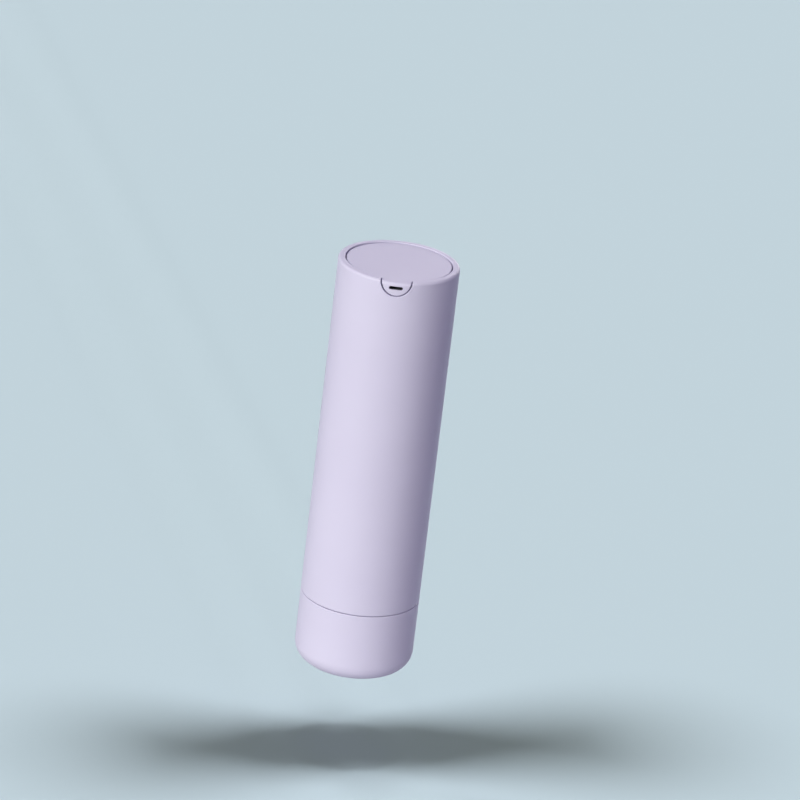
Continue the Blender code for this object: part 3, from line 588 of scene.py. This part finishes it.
def bar_along_y(name, outline, front, back, level):
    """A prism of a flat outline, given as points (x, height), that runs from front to back along Y."""
    shape = bmesh.new()
    rings = [[shape.verts.new((x, y, level + z)) for x, z in outline] for y in (front, back)]
    count = len(outline)
    shape.faces.new(rings[0])
    shape.faces.new(rings[1][::-1])
    for i in range(count):
        j = (i + 1) % count
        shape.faces.new((rings[0][i], rings[1][i], rings[1][j], rings[0][j]))
    bmesh.ops.recalc_face_normals(shape, faces=shape.faces)
    return from_bmesh(name, shape)


def level_square(name, size, centre, turn=0.0):
    """A level square round a point, swung with it round Z."""
    shape = bmesh.new()
    bmesh.ops.create_grid(shape, x_segments=1, y_segments=1, size=size / 2)
    bmesh.ops.translate(shape, vec=centre, verts=shape.verts)
    bmesh.ops.rotate(shape, matrix=Matrix.Rotation(math.radians(turn), 3, "Z"), verts=shape.verts)
    return from_bmesh(name, shape)


def cut(made, tool, operation="DIFFERENCE"):
    """Applies one exact boolean and throws the tool away."""
    modifier = made.modifiers.new("cut", "BOOLEAN")
    modifier.operation = operation
    modifier.solver = "EXACT"
    modifier.object = tool
    settle(made)
    bpy.data.objects.remove(tool)
    return made


def soften(made):
    """Rounds the sharp edges a little, as a mould does."""
    weld = made.modifiers.new("weld", "WELD")
    weld.merge_threshold = EDGE_ROUND / EDGE_SEGMENTS
    bevel = made.modifiers.new("round", "BEVEL")
    bevel.limit_method = "ANGLE"
    bevel.angle_limit = math.radians(EDGE_DEGREES)
    bevel.width = EDGE_ROUND
    bevel.segments = EDGE_SEGMENTS
    bevel.use_clamp_overlap = False
    return settle(made)


def wear(made, finish):
    """Gives a finished piece its one finish, and a shading that its broad faces lead."""
    made.data.shade_smooth()
    made.data.set_sharp_from_angle(angle=math.radians(SHARP_DEGREES))
    made.data.materials.clear()
    made.data.materials.append(finish)
    lead = made.modifiers.new("lead", "WEIGHTED_NORMAL")
    lead.keep_sharp = True
    return settle(made)


def stand_in(made, body, node_name):
    """Puts a rigid piece in the place of a solid."""
    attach(made, body)
    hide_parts(node_name)


# Pieces


def sleeve_shell(tree, finish):
    """The long outer sleeve: round rim, detent bead, snap groove, ring rebate and the nozzle's notch."""
    foot, under_notch = SLEEVE_BOTTOM, HEIGHT - NOTCH_RADIUS - OVERRUN
    profile = arc((BODY_RADIUS - RIM_ROUND, HEIGHT - RIM_ROUND), RIM_ROUND, 90, 0)
    profile += [(BODY_RADIUS, under_notch)]
    profile += arc((BODY_RADIUS - SEAM_ROUND, foot + SEAM_ROUND), SEAM_ROUND, 0, -90, SMALL_ARC_STEPS)
    profile += [(REBATE_RADIUS, foot), (REBATE_RADIUS, REBATE_TOP), (SHELL_BORE, REBATE_TOP)]
    profile += bead(SHELL_BORE, GROOVE_DEPTH, SLEEVE_GROOVE_LEVEL, GROOVE_LENGTH)[::-1]
    profile += [(SHELL_BORE, RIM_BORE_BOTTOM - RIM_BORE_SLOPE), (RIM_BORE, RIM_BORE_BOTTOM)]
    profile += bead(RIM_BORE, -SLEEVE_BEAD_HEIGHT, SLEEVE_BEAD_LEVEL, BEAD_LENGTH)[::-1]
    corner = (RIM_BORE + RIM_INNER_ROUND, HEIGHT - RIM_INNER_ROUND)
    profile += arc(corner, RIM_INNER_ROUND, 180, 90, SMALL_ARC_STEPS)
    made = turned("sleeve_shell", profile, tree, finish)
    front, back = -BODY_RADIUS - OVERRUN, -RIM_BORE + OVERRUN
    cut(made, bar_along_y("notch", circle_outline(NOTCH_RADIUS), front, back, HEIGHT))
    depth = LUG_GROOVE_DEPTH + OVERRUN
    height = LUG_GROOVE_TOP - foot + OVERRUN
    for side in (-1, 1):
        centre = (side * (LUG_GROOVE_RADIUS - depth / 2), 0, LUG_GROOVE_TOP - height / 2)
        cut(made, box("lug_groove", (depth, LUG_GROOVE_WIDTH, height), centre))
    return wear(soften(made), finish)


def base_shell(tree, finish):
    """The twist base: a cup with a full round foot and a soft edge at the seam."""
    corner = (BODY_RADIUS - FOOT_ROUND, FOOT_ROUND)
    profile = [(0, SEAT_TOP), (SEAT_RADIUS, SEAT_TOP), (SEAT_RADIUS, SHELL_WALL)]
    profile += arc(corner, FOOT_ROUND - SHELL_WALL, -90, 0)
    profile += bead(SHELL_BORE, GROOVE_DEPTH, BASE_GROOVE_LEVEL, GROOVE_LENGTH)[::-1]
    profile += [(SHELL_BORE, BASE_TOP)]
    profile += arc((BODY_RADIUS - SEAM_ROUND, BASE_TOP - SEAM_ROUND), SEAM_ROUND, 90, 0, SMALL_ARC_STEPS)
    profile += arc(corner, FOOT_ROUND, 0, -90, FOOT_ARC_STEPS) + [(0, 0)]
    return wear(soften(turned("base_shell", profile, tree, finish)), finish)


def nozzle_tab(tree, finish):
    """The tab that fills the sleeve's notch, with the button's round edge carried over its top."""
    blank = [(0, DISC_TOP)]
    blank += arc((TAB_FACE - TAB_ROUND, DISC_TOP - TAB_ROUND), TAB_ROUND, 90, 0)
    blank += [(TAB_FACE, TAB_BLANK_BOTTOM), (0, TAB_BLANK_BOTTOM)]
    made = turned("tab", blank, tree, finish)
    front, outline = -BODY_RADIUS - OVERRUN, circle_outline(TAB_RADIUS)
    return cut(made, bar_along_y("tab_front", outline, front, -TAB_ROOT, HEIGHT), "INTERSECT")


def press_button(tree, finish):
    """The press face with its skirt and bead, the nozzle tab in front and the oval outlet slot."""
    corner = (DISC_RADIUS - DISC_ROUND, DISC_TOP - DISC_ROUND)
    profile = [(0, DISC_TOP)] + arc(corner, DISC_ROUND, 90, 0, SMALL_ARC_STEPS)
    profile += [(DISC_RADIUS, DISC_EDGE_BOTTOM), (SKIRT_RADIUS, DISC_EDGE_BOTTOM - SKIRT_STEP)]
    profile += bead(SKIRT_RADIUS, SKIRT_BEAD_HEIGHT, SKIRT_BEAD_LEVEL, BEAD_LENGTH)
    profile += [(SKIRT_RADIUS, SKIRT_BOTTOM), (SKIRT_BORE, SKIRT_BOTTOM), (SKIRT_BORE, DISC_UNDER)]
    profile += [(0, DISC_UNDER)]
    made = turned("press_button", profile, tree, finish)
    cut(made, nozzle_tab(tree, finish), "UNION")
    pocket = oval_outline(SLOT_WIDTH + POCKET_MARGIN * 2, SLOT_HEIGHT + POCKET_MARGIN * 2)
    cut(made, bar_along_y("pocket", pocket, -TAB_FACE + TAB_WALL, POCKET_BACK, SLOT_LEVEL))
    slot = oval_outline(SLOT_WIDTH, SLOT_HEIGHT)
    cut(made, bar_along_y("slot", slot, -TAB_FACE - OVERRUN, -TAB_FACE + TAB_WALL * 2, SLOT_LEVEL))
    return wear(soften(made), finish)


def return_coil(finish):
    """The steel spring that lifts the head."""
    made = grow(
        add_object("return_coil", bpy.data.meshes.new("return_coil")), spring_tree(),
        Radius=SPRING_RADIUS, Wire=SPRING_WIRE_RADIUS, Bottom=SPRING_BOTTOM, Top=SPRING_TOP,
        Turns=SPRING_TURNS, Points=SPRING_TURNS * SPRING_TURN_STEPS + 1, Finish=finish,
    )
    return wear(settle(made), finish)


def valve_ball(finish):
    """The polished check ball on the pump's inlet seat."""
    shape = bmesh.new()
    bmesh.ops.create_icosphere(shape, subdivisions=BALL_DIVISIONS, radius=BALL_RADIUS)
    bmesh.ops.translate(shape, vec=(0, 0, BALL_LEVEL), verts=shape.verts)
    return wear(from_bmesh("valve_ball", shape), finish)


def smooth_copy(node_name, solid, finish):
    """A solid's own form, with its narrow flats shaded as one round surface."""
    mesh = bpy.data.meshes.new(node_name)
    mesh.from_pydata([v.co for v in solid.vertices], [], [f.vertices[:] for f in solid.polygons])
    made = add_object(f"{node_name}_smooth", mesh)
    made.modifiers.new("merge", "WELD").merge_threshold = MERGE
    return wear(settle(made), finish)


# Camera, stage and light


def camera():
    data = bpy.data.cameras.new("camera")
    data.sensor_width = CAMERA_SENSOR
    data.lens = CAMERA_LENS
    data.clip_start, data.clip_end = CAMERA_CLIP
    made = add_object("camera", data)
    tilt = Matrix.Rotation(math.radians(90 - CAMERA_DOWN), 4, "X")
    roll = Matrix.Rotation(math.radians(CAMERA_ROLL), 4, "Z")
    made.matrix_world = Matrix.Translation(CAMERA_PLACE) @ tilt @ roll
    bpy.context.scene.camera = made


def floor():
    made = level_square("floor", FLOOR_SIZE, (0, 0, FLOOR_LEVEL))
    made.data.materials.append(plain_floor("plain_floor"))
    return made


def linked_group(name, state, *held):
    """A lamp's list: it lights, or is shaded by, these alone with INCLUDE and all but these with EXCLUDE."""
    group = bpy.data.collections.new(name)
    for made in held:
        group.objects.link(made)
    for entry in group.collection_objects:
        entry.light_linking.link_state = state
    return group


def shade_card(name, edge, out, height):
    """A level card that shades all beyond its edge along the row; only lamps see it."""
    centre = (edge + out * CARD_SIZE / 2, 0, FLOOR_LEVEL + height)
    made = level_square(name, CARD_SIZE, centre, ROW_TURN)
    made.visible_camera = False
    made.visible_diffuse = False
    made.visible_glossy = False
    made.visible_transmission = False
    return made


def strip_cards(one):
    """The cards that keep a lamp of the row to its strip of the floor."""
    height = one["card_height"]
    shift = height * math.tan(math.radians(one["lean"]))
    cards = []
    for end, out in (("low", -1), ("high", 1)):
        if one[end] is not None:
            cards.append(shade_card(f"{one['name']}_{end}_card", one[end] + shift, out, height))
    return cards


def lamp(name, lit, shading, strength, side, rise, size, tint, turn=0.0):
    """A soft lamp far off: side and turn swing it round Z from the front, and rise is its height."""
    data = bpy.data.lights.new(name, "SUN")
    data.energy = strength * WHITE_LIGHT
    data.color = tint
    data.angle = math.radians(size)
    made = add_object(name, data)
    made.light_linking.receiver_collection = lit
    made.light_linking.blocker_collection = shading
    height = math.radians(rise)
    from_front = Vector((0, -math.cos(height), math.sin(height)))
    towards = Matrix.Rotation(math.radians(side + turn), 3, "Z") @ from_front
    made.rotation_mode = "QUATERNION"
    made.rotation_quaternion = towards.to_track_quat("Z", "Y")


def low_lamp(name, lit, shading):
    """A weak round soft box that lies under the object and looks up at its foot."""
    data = bpy.data.lights.new(name, "AREA")
    data.shape = "DISK"
    data.size = LOW_WIDTH
    data.energy = LOW_POWER
    made = add_object(name, data)
    made.light_linking.receiver_collection = lit
    made.light_linking.blocker_collection = shading
    made.location = LOW_PLACE
    made.rotation_euler = (math.pi, 0, 0)
    made.visible_camera = False
    made.visible_glossy = False


def lamps(ground):
    """Key at the left front, fill at the right, back light, dome and low fill for the object.

    The floor has its own: an even light from above, and a row of three lamps that lean across the
    bottle. Cards cut each lamp to the strip of floor on which the bottle's shadow from it lies.
    """
    cards = {one["name"]: strip_cards(one) for one in ROW}
    every_card = [card for held in cards.values() for card in held]
    on_object = linked_group("lit_object", "EXCLUDE", ground)
    on_floor = linked_group("lit_floor", "INCLUDE", ground)
    past_cards = linked_group("past_cards", "EXCLUDE", *every_card)
    lamp("key", on_object, past_cards, **KEY)
    lamp("fill", on_object, past_cards, **FILL)
    lamp("back", on_object, past_cards, **BACK)
    lamp("dome", on_object, past_cards, **DOME)
    low_lamp("low_fill", on_object, past_cards)
    lamp("floor_even", on_floor, past_cards, FLOOR_LIGHT * EVEN_SHARE, 0, OVERHEAD, EVEN_SIZE, EVEN_TINT)
    for one in ROW:
        name, lean = one["name"], one["lean"]
        other_cards = [card for card in every_card if card not in cards[name]]
        past_others = linked_group(f"past_cards_{name}", "EXCLUDE", *other_cards)
        strength = FLOOR_LIGHT * (1 - EVEN_SHARE) / math.cos(math.radians(lean))
        side, rise = math.copysign(90, lean), OVERHEAD - abs(lean)
        lamp(name, on_floor, past_others, strength, side, rise, one["size"], ROW_TINT, ROW_TURN)


def world():
    """A dim even sky for light; the rays that show the background see its pale colour."""
    made = bpy.data.worlds.new("studio")
    bpy.context.scene.world = made
    made.use_nodes = True
    tree = made.node_tree
    tree.nodes.clear()
    light = node(tree, "ShaderNodeBackground")
    light.inputs["Color"].default_value = (*AMBIENT, 1.0)
    light.inputs["Strength"].default_value = AMBIENT_STRENGTH
    seen = node(tree, "ShaderNodeBackground")
    seen.inputs["Color"].default_value = (*BACKGROUND, 1.0)
    mix = node(tree, "ShaderNodeMixShader")
    sources = (shown_rays(tree), light.outputs["Background"], seen.outputs["Background"])
    for side, source in zip(mix.inputs, sources):
        tree.links.new(source, side)
    tree.links.new(mix.outputs["Shader"], node(tree, "ShaderNodeOutputWorld").inputs["Surface"])
    bpy.context.scene.view_settings.view_transform = "Standard"


# The scene

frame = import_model()
camera()
lamps(floor())
world()

finishes = {
    "shell": satin_lilac("satin_lilac"),
    "button": satin_lilac("satin_lilac_button"),
    "white": moulded_white("moulded_white"),
    "natural": milky_natural("milky_natural"),
    # The charcoal finish also paints the deep shade inside the outlet slot
    "charcoal": charcoal_and_slot_shade("charcoal_and_slot_shade"),
    "elastomer": soft_seal("soft_seal"),
    "steel": drawn_steel("drawn_steel"),
}
slots = {part["node"]: part["material_slot"] for part in frame["record"]["subparts"]}

turning = turning_tree()
stand_in(sleeve_shell(turning, finishes["shell"]), "sleeve", "outer_sleeve")
stand_in(base_shell(turning, finishes["shell"]), "base", "base_cap")
stand_in(press_button(turning, finishes["button"]), "button", "button_cap")
stand_in(valve_ball(finishes["steel"]), "ball", "inlet_ball")
coil = return_coil(finishes["steel"])
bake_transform(coil)
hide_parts("return_spring")
own_form = ("outer_sleeve", "base_cap", "button_cap", "inlet_ball", "return_spring")
for body, held in frame["record"]["behaviour"]["bodies"].items():
    for name in held:
        if name not in own_form:
            copied = smooth_copy(name, frame["nodes"][name].data, finishes[slots[name]])
            stand_in(copied, body, name)
